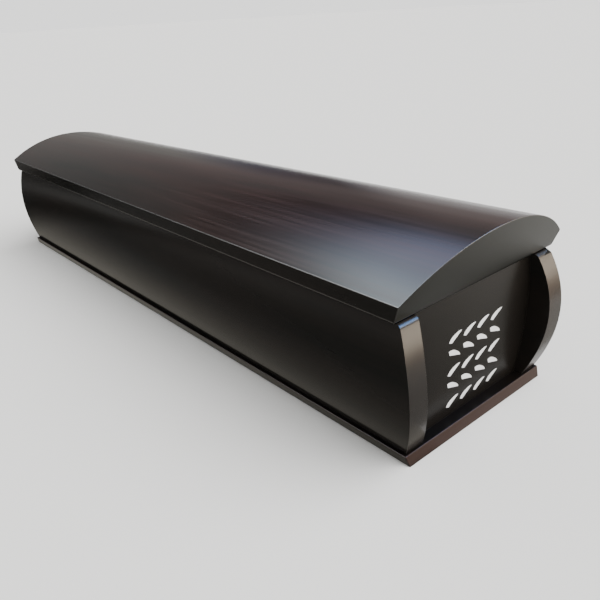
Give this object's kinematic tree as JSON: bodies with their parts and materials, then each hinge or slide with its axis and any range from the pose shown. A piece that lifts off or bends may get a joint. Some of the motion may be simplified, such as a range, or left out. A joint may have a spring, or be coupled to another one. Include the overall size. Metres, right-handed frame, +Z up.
{
  "type": "wooden coffin",
  "caption": "Lacquered wooden coffin with bowed side boards, recessed end boards, a thin base board and a loose domed lid over a hollow interior.",
  "frame": {"origin": "on the ground, below the middle of the whole outline", "axes": "+Z up, the length along Y with the head towards -Y and the foot towards +Y, the width along X"},
  "size_m": [0.559, 2.115, 0.4656],
  "materials": {
    "dark_lacquer": "brown-black lacquer over wood, satin to gloss, with faint grain along the boards",
    "white_paint": "opaque white paint"
  },
  "bodies": {
    "root": {"base_board": "dark_lacquer", "left_side_board": "dark_lacquer", "right_side_board": "dark_lacquer", "head_board": "dark_lacquer", "foot_board": "dark_lacquer", "lid": "dark_lacquer"}
  },
  "joints": []
}
